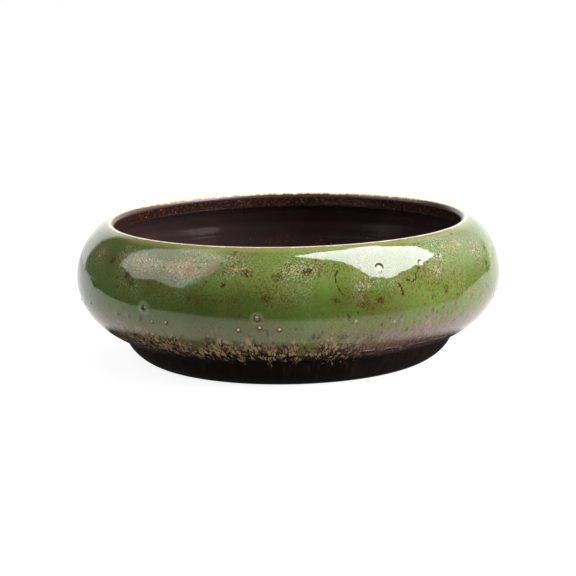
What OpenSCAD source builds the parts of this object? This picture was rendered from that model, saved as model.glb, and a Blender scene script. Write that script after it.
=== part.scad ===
// Shallow glazed bowl planter: a thrown stoneware bowl on a luted foot ring, three glaze coats
// fired onto the clay, and a loose net over the drain hole.
// Millimetres. Z is the wheel axis, and the table is at z = 0.

/* [Bowl] */
// Widest diameter, measured over the glaze
belly_d = 185; // [165:1:225]
// Overall height, from the table to the top of the lip
height = 61; // [51:0.5:74]
// Height of the widest line above the table
belly_z = 37.5; // [32:0.5:42]
// Diameter of the mouth, inside the lip
mouth_d = 151; // [126:1:165]
// Thickness of the finished wall at the widest line
wall = 5; // [3.5:0.1:7]
// Thickness of the finished floor
floor_t = 6.5; // [4:0.1:9]
// Diameter of the flat base under the bowl
base_d = 115; // [100:1:128]
// Fall of the shoulder where it runs into the lip, in degrees
lip_slope = 17; // [10:1:25]
// Radius of the rolled lip
lip_r = 2.1; // [1.5:0.1:2.6]
// Depth of the plain band inside the lip
lip_band = 5.5; // [4:0.1:8]
// Radius of the soft edge under that band
band_edge_r = 1.2; // [0.8:0.1:2]

/* [Throwing rings] */
// Spacing of the finger marks up the inner wall
ring_pitch = 6.5; // [4:0.1:10]
// Depth of the finger marks
ring_depth = 0.3; // [0:0.05:0.5]

/* [Foot ring] */
// Height of the flat base above the table
foot_h = 9.8; // [8:0.1:12]
// Outer diameter of the standing face
foot_d = 119; // [104:1:126]
// Outer diameter where the foot ring meets the bowl
foot_top_d = 144.5; // [136:0.5:152]
// Bow of the outer face between those two circles
foot_bow = 2.1; // [1:0.1:3]
// Width of the standing face
foot_w = 8; // [6:0.1:12]
// Radius of the inner edge of the standing face
foot_edge_r = 1; // [0.5:0.1:2]

/* [Drain hole] */
// Diameter of the drain hole
drain_d = 16; // [10:0.5:24]

/* [Glaze] */
// Thickness of the green coat and of the dark coat below it
coat_t = 0.8; // [0.5:0.05:1.2]
// Thickness of the dark liner coat inside
liner_t = 0.6; // [0.4:0.05:1]
// Thickness that a coat has left at its bare edge
feather_t = 0.1; // [0.05:0.01:0.2]
// Height at which the green coat runs out into tongues
run_z = 17.5; // [15.5:0.1:22]
// Number of tongues round the bowl
run_count = 40; // [24:1:48]
// Width of the widest tongue
run_w = 5; // [3:0.1:6]
// Height of the bare clay at the bottom of the foot ring
dry_z = 1.5; // [1:0.1:3]
// Step back of the liner coat from the drain hole
liner_back = 1.5; // [0.5:0.1:3]
// Reach of the glaze that pools in the crease, along the bowl and along the foot ring
pool_reach = 1.3; // [0.6:0.1:2]

/* [Drain net] */
// Diameter of the net
net_d = 44; // [34:1:60]
// Thickness of the net
net_t = 1.8; // [1.2:0.1:2.4]
// Width of its bars
bar_w = 1.2; // [0.8:0.1:1.6]
// Spacing of its bars
bar_pitch = 3.6; // [3:0.1:5]
// Width of its rim
rim_w = 2; // [1.5:0.1:3]

/* [Hidden] */
$fn = 144;

clay_colour = [0.86, 0.78, 0.66];
green_colour = [0.40, 0.55, 0.22];
dark_colour = [0.11, 0.07, 0.06];
net_colour = [0.10, 0.11, 0.10];

belly_r = belly_d / 2;
mouth_r = mouth_d / 2;
base_r = base_d / 2;
foot_r = foot_d / 2;
foot_top_r = foot_top_d / 2;
floor_z = foot_h + floor_t;
// Steps along each curved stretch of a profile
steps = 24;
// Room that a cutting shape takes past what it cuts
over = 2;

// Each profile is a list of [point, outward normal, coat thickness].
function unit(v) = v / norm(v);
function ease(x) = let (k = min(1, max(0, x))) k * k * (3 - 2 * k);
function finished(profile) = [for (p = profile) p[0]];
function under_coat(profile) = [for (p = profile) p[0] - p[2] * p[1]];
// Two stretches of a profile as one, with a point that both share kept once.
function joined(a, b) = concat(a, [for (p = b) if (norm(p - a[len(a) - 1]) > feather_t / 2) p]);

// Stretch of an ellipse about a centre, from angle t0 to t1.
function oval(centre, a, b, t0, t1) = [
    for (i = [0:steps]) let (t = t0 + (t1 - t0) * i / steps)
        [centre + [a * cos(t), b * sin(t)], unit([cos(t) / a, sin(t) / b]), t]
];
// Angle at which an oval that starts upright falls away at a slope, dx in and dz up from its start.
function oval_end(dx, dz, slope) = let (k = tan(slope) * dx / dz) acos(k / (1 - k));

// Outside of the bowl, from the edge of the flat base up to the lip.
lip_centre = [mouth_r + lip_r, height - lip_r];
lip_end = lip_centre + lip_r * [sin(lip_slope), cos(lip_slope)];
shoulder_in = belly_r - lip_end.x;
shoulder_up = lip_end.y - belly_z;
shoulder_t = oval_end(shoulder_in, shoulder_up, lip_slope);
shoulder_a = shoulder_in / (1 - cos(shoulder_t));
shoulder_b = shoulder_up / sin(shoulder_t);
// Part of the shoulder, in degrees of its oval, over which the green coat thins to the lip
thin_span = 30;
function coat_at(t) = feather_t + (coat_t - feather_t) * ease((shoulder_t - t) / thin_span);
outside = [
    for (p = oval([base_r, belly_z], belly_r - base_r, belly_z - foot_h + coat_t, -90, 0))
        [p[0], p[1], coat_t],
    for (p = oval([belly_r - shoulder_a, belly_z], shoulder_a, shoulder_b, 0, shoulder_t))
        [p[0], p[1], coat_at(p[2])]
];

// Inside of the bowl, from the floor up to the lip.
inner_r = belly_r - wall;
band_z = height - lip_band;
band_centre = [mouth_r + band_edge_r, band_z];
// Slope of the wall where it leaves the edge under the band, as a share of the hollow's own slope there
band_share = 0.2424;
band_slope = atan(band_share * (band_z - belly_z) / (inner_r - band_centre.x));
band_end = band_centre - band_edge_r * [sin(band_slope), cos(band_slope)];
hollow_in = inner_r - band_end.x;
hollow_up = band_end.y - belly_z;
hollow_t = oval_end(hollow_in, hollow_up, band_slope);
hollow_a = hollow_in / (1 - cos(hollow_t));
hollow_b = hollow_up / sin(hollow_t);
// Finger marks fade out towards the floor and towards the band.
function ring_mark(z) = ring_depth / 2 * (1 - cos(360 * (z - floor_z) / ring_pitch))
    * ease((z - floor_z) / ring_pitch) * ease((band_end.y - z) / ring_pitch);
function marked(p) = [p[0] + ring_mark(p[0].y) * p[1], -p[1], liner_t];
inside = [
    [[0, floor_z], [0, 1], liner_t],
    for (p = oval([base_r, belly_z], inner_r - base_r, belly_z - floor_z, -90, 0)) marked(p),
    for (p = oval([inner_r - hollow_a, belly_z], hollow_a, hollow_b, 0, hollow_t)) marked(p),
    for (i = [0:6]) let (t = 270 - band_slope - (90 - band_slope) * i / 6)
        [band_centre + band_edge_r * [cos(t), sin(t)], [cos(t), sin(t)], liner_t],
    [[mouth_r, lip_centre.y], [-1, 0], feather_t]
];

// Lip, rolled from the shoulder over to the mouth.
lip_roll = [
    for (i = [0:12]) let (t = 90 - lip_slope + (90 + lip_slope) * i / 12)
        lip_centre + lip_r * [cos(t), sin(t)]
];

// Foot ring's outer face, an arc from the standing face up to the crease under the bowl.
crease_t = -acos((foot_top_r - base_r) / (belly_r - base_r));
crease_z = belly_z + (belly_z - foot_h + coat_t) * sin(crease_t);
foot_chord = [foot_top_r - foot_r, crease_z];
foot_arc_r = (norm(foot_chord) ^ 2 / 4 + foot_bow ^ 2) / (2 * foot_bow);
foot_out = unit([foot_chord.y, -foot_chord.x]);
foot_centre = [foot_r, 0] + foot_chord / 2 - (foot_arc_r - foot_bow) * foot_out;
function foot_angle(z) = asin((z - foot_centre.y) / foot_arc_r);
// Height over which the dark coat thins to the bare clay
dry_span = 4;
function foot_coat(z) = feather_t + (coat_t - feather_t) * ease((z - dry_z) / dry_span);
function foot_arc(z0, z1) = [
    for (i = [0:steps]) let (
        t = foot_angle(z0) + (foot_angle(z1) - foot_angle(z0)) * i / steps,
        n = [cos(t), sin(t)],
        p = foot_centre + foot_arc_r * n
    ) [p, n, foot_coat(p.y)]
];
foot_bare = foot_arc(0, dry_z);
foot_glazed = foot_arc(dry_z, crease_z);

// Skin of the outer coats from the bare clay up to the shoulder, with the pool as a curve in the crease.
crease = [foot_top_r, crease_z];
function clear_of_pool(points) = [for (p = points) if (norm(p - crease) > pool_reach) p];
foot_skin = clear_of_pool(finished(foot_glazed));
bowl_skin = clear_of_pool([for (p = outside) if (p[0].y > crease_z) p[0]]);
pool_low = crease + pool_reach * unit(foot_skin[len(foot_skin) - 1] - crease);
pool_high = crease + pool_reach * unit(bowl_skin[0] - crease);
pool = [
    for (i = [0:8]) let (u = i / 8) pool_low * (1 - u) ^ 2 + crease * 2 * u * (1 - u) + pool_high * u ^ 2
];

// Filled half section of the bowl inside an outer profile.
module bowl_section(outer) {
    polygon([[0, outer[0].y], each joined(outer, lip_roll), [0, lip_centre.y]]);
}

// Filled half section of the hollow inside the bowl, open at the top.
module hollow_section(inner) {
    polygon([each joined(inner, [[mouth_r, lip_centre.y]]), [mouth_r, height + over], [0, height + over]]);
}

// Half section of the foot ring under its coat, run on into the bowl.
module foot_section() {
    edge = [
        for (i = [0:4]) let (t = 180 + 90 * i / 4)
            [foot_r - foot_w + foot_edge_r, foot_edge_r] + foot_edge_r * [cos(t), sin(t)]
    ];
    top = foot_h + over;
    face = joined(finished(foot_bare), under_coat(foot_glazed));
    polygon([[foot_r - foot_w, top], each edge, each face, [base_r, top]]);
}

// Drip of the green coat: i sets its width and length by the golden angle.
module tongue(i) {
    w = run_w * (0.55 + 0.45 * abs(cos(137.5 * i)));
    drop = w * (0.3 + 0.45 * abs(sin(222.5 * i + 20)));
    rotate(360 * i / run_count) translate([base_r, 0, run_z + w / 2 - drop]) rotate([0, 90, 0])
        cylinder(d = w, h = belly_r, $fn = 48);
}

// All that lies above the ragged lower edge of the green coat.
module above_run() {
    translate([0, 0, run_z]) cylinder(r = belly_r + over, h = height);
    for (i = [0:run_count - 1]) tongue(i);
}

// Coat on the outside of bowl and foot ring, between two heights.
module outer_coat(z0, z1) {
    rotate_extrude() intersection() {
        difference() {
            bowl_section(concat(foot_skin, pool, bowl_skin));
            bowl_section(under_coat(outside));
            foot_section();
        }
        translate([foot_r, z0]) square([belly_r, z1 - z0]);
    }
}

// Thrown and turned bowl, in one piece from the floor to the rolled lip.
module clay_bowl() {
    color(clay_colour) difference() {
        rotate_extrude() difference() {
            bowl_section(under_coat(outside));
            hollow_section(under_coat(inside));
        }
        translate([0, 0, foot_h - over]) cylinder(d = drain_d, h = floor_t + 2 * over);
    }
}

// Ring luted under the bowl with slip, seated on the flat base and up to the crease.
module foot_ring() {
    color(clay_colour) rotate_extrude() difference() {
        foot_section();
        bowl_section(under_coat(outside));
    }
}

// Green coat on the outside, thin at the lip and run into tongues at its lower edge.
module green_glaze() {
    color(green_colour) intersection() {
        outer_coat(run_z - run_w, height);
        above_run();
    }
}

// Dark coat below the green one, pooled in the crease and thin at the bottom of the foot ring.
module foot_glaze() {
    color(dark_colour) difference() {
        outer_coat(dry_z, run_z);
        above_run();
    }
}

// Dark coat on the floor, the wall and the band inside the lip.
module liner_glaze() {
    color(dark_colour) difference() {
        rotate_extrude() difference() {
            hollow_section(under_coat(inside));
            hollow_section(finished(inside));
        }
        translate([0, 0, foot_h]) cylinder(r = drain_d / 2 + liner_back, h = floor_t + over);
    }
}

// Bars of the net in one direction, each as long as the rim lets it be.
module bars(length_r, h) {
    n = floor((length_r - bar_w) / bar_pitch);
    for (i = [-n:n]) {
        reach = sqrt(length_r ^ 2 - (abs(i * bar_pitch) + bar_w / 2) ^ 2);
        translate([-reach, i * bar_pitch - bar_w / 2, 0]) cube([2 * reach, bar_w, h]);
    }
}

// Moulded net that keeps soil out of the drain hole: two layers of crossed bars in a rim.
module drain_net() {
    net_r = net_d / 2;
    layer_h = net_t * 0.6;
    color(net_colour) translate([0, 0, floor_z]) {
        difference() {
            cylinder(r = net_r, h = net_t);
            translate([0, 0, -over]) cylinder(r = net_r - rim_w, h = net_t + 2 * over);
        }
        bars(net_r - rim_w / 2, layer_h);
        translate([0, 0, net_t - layer_h]) rotate(90) bars(net_r - rim_w / 2, layer_h);
    }
}

clay_bowl();
foot_ring();
green_glaze();
foot_glaze();
liner_glaze();
drain_net();
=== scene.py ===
# %% [markdown]
# A glazed bowl planter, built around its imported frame.
# The real bowl is thrown on a wheel, set on a low foot ring, dipped in a dark glaze inside and below,
# and in a green one outside, then fired until the green runs down and breaks into the dark.
# Nearly every form here is a half section that is turned once round the wheel's axis, so the lesson draws
# each section point by point, spins it, and then gives the glaze the small faults that a kiln leaves.

# %% Load the frame and keep its box
import math

import bpy
import numpy as np
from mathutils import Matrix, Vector


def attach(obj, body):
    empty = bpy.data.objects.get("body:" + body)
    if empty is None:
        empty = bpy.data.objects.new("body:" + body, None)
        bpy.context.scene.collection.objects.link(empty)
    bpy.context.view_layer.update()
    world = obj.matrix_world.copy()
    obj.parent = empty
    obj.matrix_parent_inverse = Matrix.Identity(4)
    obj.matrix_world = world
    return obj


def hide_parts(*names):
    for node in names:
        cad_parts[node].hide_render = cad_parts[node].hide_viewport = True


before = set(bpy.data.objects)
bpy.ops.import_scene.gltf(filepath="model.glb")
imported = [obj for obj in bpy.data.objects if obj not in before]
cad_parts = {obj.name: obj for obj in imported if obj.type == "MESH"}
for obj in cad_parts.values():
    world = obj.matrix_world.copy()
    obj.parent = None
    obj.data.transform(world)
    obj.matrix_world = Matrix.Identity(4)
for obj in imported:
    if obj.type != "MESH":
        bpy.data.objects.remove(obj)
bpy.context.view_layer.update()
bpy.ops.object.select_all(action="DESELECT")
MM = 0.001

# %% [markdown]
# The camera stands a metre away and looks a little down into the bowl, through a long lens.
# A long lens keeps the two sides of the bowl nearly parallel, as a shop photograph does.
# A constraint could aim it, but a constraint would stay live in the file, so its turn is worked out once.

# %% Set up the camera
AIM = Vector((0, 0, 0.030))
CAMERA_RISE = math.radians(10.554)
CAMERA_AWAY = 1.00583
CAMERA_ROLL = math.radians(-1.119)
LENS = 143.214
SHIFT_X = -0.00125
SHIFT_Y = -0.00113
away = Vector((0, -math.cos(CAMERA_RISE), math.sin(CAMERA_RISE))) * CAMERA_AWAY
bpy.ops.object.camera_add(location=AIM + away)
camera = bpy.context.object
camera.name = "camera"
camera.rotation_euler = (math.pi / 2 - CAMERA_RISE, 0, 0)
camera.rotation_euler.rotate_axis("Z", CAMERA_ROLL)
camera.data.sensor_width = 36
camera.data.lens = LENS
camera.data.shift_x = SHIFT_X
camera.data.shift_y = SHIFT_Y
camera.data.clip_start = 0.01
scene = bpy.context.scene
scene.camera = camera
scene.view_settings.view_transform = "Standard"
print("camera at", [round(c, 3) for c in camera.location])

# %% [markdown]
# Shader maths is easier to read as plain sums than as a web of nodes.
# The class below holds one socket of a material. Adding, taking away, multiplying and dividing sockets
# makes Math nodes, and the method called node adds any other kind.

# %% A socket that can be calculated with
class Wire:
    """One output of a material's nodes, ready to be used in a sum or linked to another node."""

    def __init__(self, tree, socket=None):
        self.tree = tree
        self.socket = socket

    def node(self, kind, settings=None, inputs=None, output=0):
        """Adds a node: its settings first, then the values or links of its sockets."""
        node = self.tree.nodes.new(kind)
        for name, value in (settings or {}).items():
            if name == "stops":
                ramp = node.color_ramp.elements
                while len(ramp) < len(value):
                    ramp.new(0.5)
                for stop, (place, colour) in zip(ramp, value):
                    stop.position = place
                    stop.color = colour
            else:
                setattr(node, name, value)
        for name, value in (inputs or {}).items():
            if isinstance(value, Wire):
                self.tree.links.new(value.socket, node.inputs[name])
            else:
                node.inputs[name].default_value = value
        return Wire(self.tree, node.outputs[output])

    def sum(self, operation, first, second=0.0):
        return self.node("ShaderNodeMath", {"operation": operation}, {0: first, 1: second})

    def __add__(self, other):
        return self.sum("ADD", self, other)

    def __radd__(self, other):
        return self.sum("ADD", other, self)

    def __sub__(self, other):
        return self.sum("SUBTRACT", self, other)

    def __rsub__(self, other):
        return self.sum("SUBTRACT", other, self)

    def __mul__(self, other):
        return self.sum("MULTIPLY", self, other)

    def __rmul__(self, other):
        return self.sum("MULTIPLY", other, self)

    def __truediv__(self, other):
        return self.sum("DIVIDE", self, other)

    def __pow__(self, other):
        return self.sum("POWER", self, other)

    def __abs__(self):
        return self.sum("ABSOLUTE", self)

    def up_to_one(self):
        return self.sum("MINIMUM", self, 1.0)

    def or_more(self, other):
        return self.sum("MAXIMUM", self, other)

    def step(self, low, high):
        """0 below low, 1 above high, with a soft rise between them."""
        return self.node("ShaderNodeMapRange", {"interpolation_type": "SMOOTHSTEP"},
                         {"Value": self, "From Min": low, "From Max": high})

    def parts(self):
        """The three parts of a vector or a colour."""
        split = self.node("ShaderNodeSeparateXYZ", None, {0: self}).socket.node
        return [Wire(self.tree, out) for out in split.outputs]

    def vector(self, x, y, z):
        """A vector from three numbers or sockets."""
        return self.node("ShaderNodeCombineXYZ", None, {0: x, 1: y, 2: z})

    def shifted(self, noise, *amount):
        """This vector, moved by a noise's colour times an amount along each axis."""
        inputs = {0: noise, 1: amount, 2: self}
        return self.node("ShaderNodeVectorMath", {"operation": "MULTIPLY_ADD"}, inputs)

    def on_wheel(self):
        """How far right and back a place faces, its height, and its distance from the wheel's axis."""
        x, y, z = self.parts()
        reach = (x * x + y * y) ** 0.5
        return x / reach, y / reach, z, reach

    def noise(self, size, detail=2.0, roughness=0.5, output=0):
        """Soft noise whose blots are about size wide, in the units of this vector."""
        inputs = {"Vector": self, "Scale": 1 / size, "Detail": detail, "Roughness": roughness}
        return self.node("ShaderNodeTexNoise", None, inputs, output)

    def cells(self, size, feature="F1", output=0):
        """Cells about size wide, in the units of this vector."""
        inputs = {"Vector": self, "Scale": 1 / size}
        return self.node("ShaderNodeTexVoronoi", {"feature": feature}, inputs, output)

    def dots(self, size, radius, share):
        """Round dots in a share of the cells of a size. The radius is a part of that size."""
        pick = self.cells(size, "F1", 1).parts()[0]
        picked = 1 - pick.step(share - 0.05, share + 0.05)
        return (1 - self.cells(size).step(radius * 0.6, radius)) * picked

    def mark(self, layer):
        """The number that paint stored for each point of the piece."""
        return self.node("ShaderNodeAttribute", {"attribute_name": layer}, None, 2)

    def ramp(self, *stops):
        """A colour for each value of this socket, from stops of a value and a screen colour."""
        colours = [(at, tone(*rgb)) for at, *rgb in stops]
        return self.node("ShaderNodeValToRGB", {"stops": colours}, {0: self})

    def mix(self, first, second):
        """The first colour where this socket is 0, the second where it is 1."""
        return self.node("ShaderNodeMix", {"data_type": "RGBA"}, {0: self, 6: first, 7: second}, 2)

    def over(self, under, red, green, blue):
        """The colour under it where this socket is 0, a screen colour where it is 1."""
        return self.mix(under, tone(red, green, blue))

    def bump(self, strength, depth):
        """A surface raised by this socket. The depth is in metres."""
        return self.node("ShaderNodeBump", None, {"Strength": strength, "Distance": depth, "Height": self})


def tone(red, green, blue):
    """A colour as seen on a screen, from 0 to 255, turned into the light that a shader needs."""
    parts = [c / 255 for c in (red, green, blue)]
    return tuple(c / 12.92 if c <= 0.04045 else ((c + 0.055) / 1.055) ** 2.4 for c in parts) + (1.0,)


print("green on screen", [round(c, 3) for c in tone(100, 150, 50)])

# %% [markdown]
# A few small helpers come back all through the lesson: some make a material, one stores a number for each
# point, and two go in and out of edit mode. In edit mode an operator acts on whatever is selected there.

# %% Helpers for materials and for edit mode
def new_finish(name, ior=1.5):
    """A material with a plain shader, and the place on the piece in millimetres to start its nodes from."""
    finish = bpy.data.materials.new(name)
    finish.use_nodes = True
    shader = finish.node_tree.nodes["Principled BSDF"]
    shader.inputs["IOR"].default_value = ior
    place = Wire(finish.node_tree).node("ShaderNodeTexCoord", None, None, 3)
    mm = place.node("ShaderNodeVectorMath", {"operation": "SCALE"}, {0: place, "Scale": 1 / MM})
    return finish, shader, mm


def set_up(shader, **sockets):
    """Links or sets the shader's sockets, named with _ for a space."""
    for name, value in sockets.items():
        socket = shader.inputs[name.replace("_", " ")]
        if isinstance(value, Wire):
            value.tree.links.new(value.socket, socket)
        else:
            socket.default_value = value


def dress(piece, finish):
    """Gives a piece one finish and no other."""
    piece.data.materials.clear()
    piece.data.materials.append(finish)


def empty_finish(piece, name):
    """A new material on a piece, with no shader yet, as a wire to start its nodes from."""
    finish = bpy.data.materials.new(name)
    finish.use_nodes = True
    finish.node_tree.nodes.remove(finish.node_tree.nodes["Principled BSDF"])
    dress(piece, finish)
    return Wire(finish.node_tree)


def show(surface):
    """Makes a shader the surface of its material."""
    surface.tree.links.new(surface.socket, surface.tree.nodes["Material Output"].inputs["Surface"])


def paint(piece, name, values):
    """Stores one number for each point of a piece, for a finish to read."""
    layer = piece.data.attributes.new(name, "FLOAT", "POINT")
    layer.data.foreach_set("value", np.asarray(values, np.float32))


def edit(action, kind="VERT"):
    """Goes into edit mode for points or faces, with all or none of them selected."""
    bpy.ops.object.mode_set(mode="EDIT")
    bpy.ops.mesh.select_mode(type=kind)
    bpy.ops.mesh.select_all(action=action)


def leave_edit():
    bpy.ops.object.mode_set(mode="OBJECT")


def ease(x):
    """0 below 0 and 1 above 1, with a soft rise between them."""
    x = min(1.0, max(0.0, x))
    return x * x * (3 - 2 * x)


print("half way up, ease gives", ease(0.5))

# %% [markdown]
# A shop photograph stands the bowl on a pale table under one big soft light on the right and a dim one on
# the left. Glaze is a mirror, so what stands round the bowl matters as much as the lamps do. The lamps here
# give the even light, and the room is white to the camera, to mirrors and to glass, and dimmer as a light.

# %% Light the room
def seen_directly(start):
    """1 for a ray from the camera, a mirror or glass, and 0 for one that gathers light."""
    rays = start.node("ShaderNodeLightPath").socket.node.outputs
    by_camera, by_mirror, by_glass = [Wire(start.tree, rays[f"Is {kind} Ray"])
                                      for kind in ("Camera", "Glossy", "Transmission")]
    return by_camera + by_mirror + by_glass


WALL_LIGHT = 0.33
world = bpy.data.worlds.new("room")
scene.world = world
world.use_nodes = True
air = world.node_tree.nodes["Background"]
air.inputs["Color"].default_value = (1, 1, 1, 1)
light_level = WALL_LIGHT + (1 - WALL_LIGHT) * seen_directly(Wire(world.node_tree)).up_to_one()
world.node_tree.links.new(light_level.socket, air.inputs["Strength"])


def lamp(name, place, size, watts):
    """A soft square lamp turned to the bowl, left out of the glaze's reflections."""
    place = Vector(place)
    bpy.ops.object.light_add(type="AREA", location=place)
    light = bpy.context.object
    light.name = name
    light.rotation_euler = (AIM - place).to_track_quat("-Z", "Y").to_euler()
    light.data.size = size
    light.data.energy = watts
    light.visible_glossy = False


lamp("key_lamp", (1.11, -0.39, 0.58), 0.9, 31.0)
lamp("fill_lamp", (-1.0, -0.5, 0.75), 0.8, 4.8)
lamp("top_lamp", (0.0, 0.25, 1.3), 0.9, 3.0)

# %% [markdown]
# The table is grey paper with a glow that only the camera and mirrors see, so it looks white and still holds
# the bowl's shadow. Inside the foot ring it has no glow, so the drain hole shows the shade that is there.

# %% Lay the table
TABLE_GREY = 0.37
TABLE_GLOW = 0.86
SHADE_R = 0.042
SHADE_END_R = 0.05
bpy.ops.mesh.primitive_plane_add(size=8, location=(0, 0, 0))
table = bpy.context.object
table.name = "table"
start = empty_finish(table, "white_table")
paper = start.node("ShaderNodeBsdfDiffuse", None, {"Color": (TABLE_GREY, TABLE_GREY, TABLE_GREY, 1)})
glow = start.node("ShaderNodeEmission", None, {"Strength": TABLE_GLOW * seen_directly(start)})
glowing = start.node("ShaderNodeAddShader", None, {0: paper, 1: glow})
x, y, _ = start.node("ShaderNodeTexCoord", None, None, 3).parts()
shaded = 1 - ((x * x + y * y) ** 0.5).step(SHADE_R, SHADE_END_R)
show(start.node("ShaderNodeMixShader", None, {0: shaded, 1: glowing, 2: paper}))
print("table", [round(d, 2) for d in table.dimensions])

# %% [markdown]
# Plain cards give the glaze something to mirror: a light panel on the right, a dim one on the left, a dark
# cloth on the table in front, and a card of painted shade where the bowl shades the table, since the table's
# glow would otherwise light that shade up in the glaze. A card could be a lamp with a shape, but a mesh can
# have any outline and a soft edge. The cards are hidden from the camera and cast no shadow.


# %% Stand the cards round the table
def light_up(piece, level, strength, back, tint):
    """Lets a card shine with a strength where its level is 1. Only the glaze can see it."""
    paint(piece, "level", level)
    start = empty_finish(piece, piece.name)
    light = start.node("ShaderNodeEmission", None, {"Color": tint, "Strength": strength})
    show(start.node("ShaderNodeMixShader", None, {0: start.mark("level"), 1: start.node(back), 2: light}))
    for kind in ("camera", "diffuse", "shadow", "transmission", "volume_scatter"):
        setattr(piece, "visible_" + kind, False)


WHITE = (1, 1, 1, 1)
COOL = (1, 0.98, 1.1, 1)


def card(name, corners, strength, soft, tint=WHITE):
    """A flat card with these corners. Its light fades out towards its edge over a soft width."""
    bpy.ops.mesh.primitive_circle_add(vertices=len(corners), radius=1, fill_type="NGON", location=(0, 0, 0))
    piece = bpy.context.object
    piece.name = name
    for point, corner in zip(piece.data.vertices, corners):
        point.co = corner
    edit("SELECT")
    bpy.ops.mesh.inset(thickness=soft, use_even_offset=True)
    leave_edit()
    level = [0.0 if i < len(corners) else 1.0 for i in range(len(piece.data.vertices))]
    light_up(piece, level, strength, "ShaderNodeBsdfTransparent", tint)


PANEL_H = 0.8
BELLY_TOP = 0.055


def overhead(outline):
    """Corners of a card over the table, from an outline in parts of its height."""
    return [(x * PANEL_H, y * PANEL_H, PANEL_H + BELLY_TOP) for x, y in outline]


panel = [(1.7, -1.15), (1.6, -0.3), (1.54, 0.38), (1.1, 0.36), (0.72, 0.45), (0.35, 0.44), (0, -0.05),
         (1.25, -1.12)]
card("light_panel", overhead(panel), 12.3, 0.02, COOL)
dim = [(-0.25, 0.5), (-0.65, 0.65), (-1.27, 0.83), (-2.6, 0.96), (-3.0, 0.5), (-3.3, -0.1), (-2.75, -0.6),
       (-3.5, -1.5), (-2.9, -1.83), (-1.66, -1.26), (-0.95, -0.82), (-0.28, -0.2)]
card("dim_panel", overhead(dim), 2.6, 0.13)
CLOTH_Z = 0.0004
cloth = [(-1100, 1010), (-420, 240), (-335, 112), (-268, 26), (-208, -40), (-168, -92), (-138, -115),
         (-108, -128), (-60, -135), (0, -138), (40, -131), (78, -122), (124, -88), (150, -58), (170, -20),
         (275, 18), (440, 125), (470, 390), (1120, 1400), (3500, 1500), (3500, -3500), (-3500, -3500),
         (-3500, 1900)]
card("dark_cloth", [(x * MM, y * MM, CLOTH_Z) for x, y in cloth], 0.10, 0.024)
# Painted shade: a dark card on the table where the bowl shades it, seen only in the glaze.
SHADE_CARD_Z = 0.0003
shade_outline = []
for a in range(0, 360, 5):
    side = Vector((math.cos(math.radians(a)), math.sin(math.radians(a))))
    shade_outline.append(side * (91 - 6 * side.x - 4 * side.y))
card("painted_shade_mat", [(x * MM, y * MM, SHADE_CARD_Z) for x, y in shade_outline], 0.03, 0.008)
print("cards have", len(panel), len(dim), len(cloth), len(shade_outline), "corners")

# %% [markdown]
# Walls stand round the table. They are dim in front and on the left, white behind, and lit up on the right,
# where the big lamp shines on them. A half sphere stands for them all, with its light painted on its points.

# %% Put walls round the table
ROOM_R = 3.0
ROOM_DIM = 0.12
ROOM_BACK = 1.42
ROOM_RIGHT = 1.3


def wall_light(turn, rise):
    """Light of the walls in a direction: degrees from the front to the right, and degrees up."""
    back = ROOM_BACK * ease((abs(turn) - 138 - 0.5 * rise) / 6) * (1 - ease((rise - 20) / 13))
    right = ROOM_RIGHT * ease(rise / 22) * (1 - ease((rise - 38) / 14))
    right *= ease((turn - 85) / 20) * (1 - ease((turn - 145) / 20))
    return ROOM_DIM + max(back, right)


bpy.ops.mesh.primitive_uv_sphere_add(segments=144, ring_count=96, radius=ROOM_R, location=(0, 0, 0))
walls = bpy.context.object
walls.name = "walls"
edit("SELECT")
bpy.ops.mesh.bisect(plane_co=(0, 0, 0), plane_no=(0, 0, 1), clear_inner=True)
leave_edit()
wall_level = []
for point in walls.data.vertices:
    turn = math.degrees(math.atan2(point.co.x, -point.co.y))
    rise = math.degrees(math.asin(min(1.0, point.co.z / ROOM_R)))
    wall_level.append(wall_light(turn, rise) / (ROOM_DIM + ROOM_RIGHT))
light_up(walls, wall_level, ROOM_DIM + ROOM_RIGHT, "ShaderNodeHoldout", WHITE)

# %% [markdown]
# These are the bowl's own sizes, in millimetres, the same ones that its frame was made from.
# A potter would read them off a profile gauge held against the pot.

# %% Sizes of the bowl
BELLY_R = 92.5
HEIGHT = 61.0
BELLY_Z = 37.5
MOUTH_R = 75.5
WALL = 5.0
BASE_R = 57.5
BASE_Z = 9.8
FLOOR_Z = 16.3
LIP_SLOPE = 17.0
LIP_R = 2.1
BAND_Z = 55.5
BAND_EDGE_R = 1.2
BAND_SHARE = 0.2424
RING_PITCH = 6.5
RING_DEPTH = 0.3
FOOT_R = 59.5
FOOT_TOP_R = 72.25
FOOT_BOW = 2.1
FOOT_W = 8.0
FOOT_EDGE_R = 1.0
DRAIN_R = 8.0
COAT = 0.8
LINER = 0.6
FEATHER = 0.1
RUN_Z = 17.5
RUN_COUNT = 40
RUN_W = 5.0
DRY_Z = 1.5
DRY_SPAN = 4.0
LINER_BACK = 1.5
THIN_SPAN = 30.0
print("belly", 2 * BELLY_R, "mm wide,", HEIGHT, "mm high")

# %% [markdown]
# The outside is two ovals that meet upright at the belly. The upper one runs into the slope of the lip,
# and the lower one ends at the crease, where the bowed face of the foot begins.
# Each function gives a point of a face and the way out of it, so a coat's hidden face can be found as well.


# %% Curves of the outside
def spread(first, last, count):
    """Count + 1 values from first to last."""
    return [first + (last - first) * i / count for i in range(count + 1)]


def way(t):
    """The direction at an angle in degrees."""
    return Vector((math.cos(math.radians(t)), math.sin(math.radians(t))))


def oval_end(across, up, slope):
    """Angle at which an oval that starts upright falls away at a slope."""
    k = math.tan(math.radians(slope)) * across / up
    return math.degrees(math.acos(k / (1 - k)))


def on_oval(centre, a, b, t):
    """A point of an oval and the direction out of it, at angle t in degrees."""
    t = math.radians(t)
    out = Vector((math.cos(t) / a, math.sin(t) / b)).normalized()
    return Vector((centre[0] + a * math.cos(t), centre[1] + b * math.sin(t))), out


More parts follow.
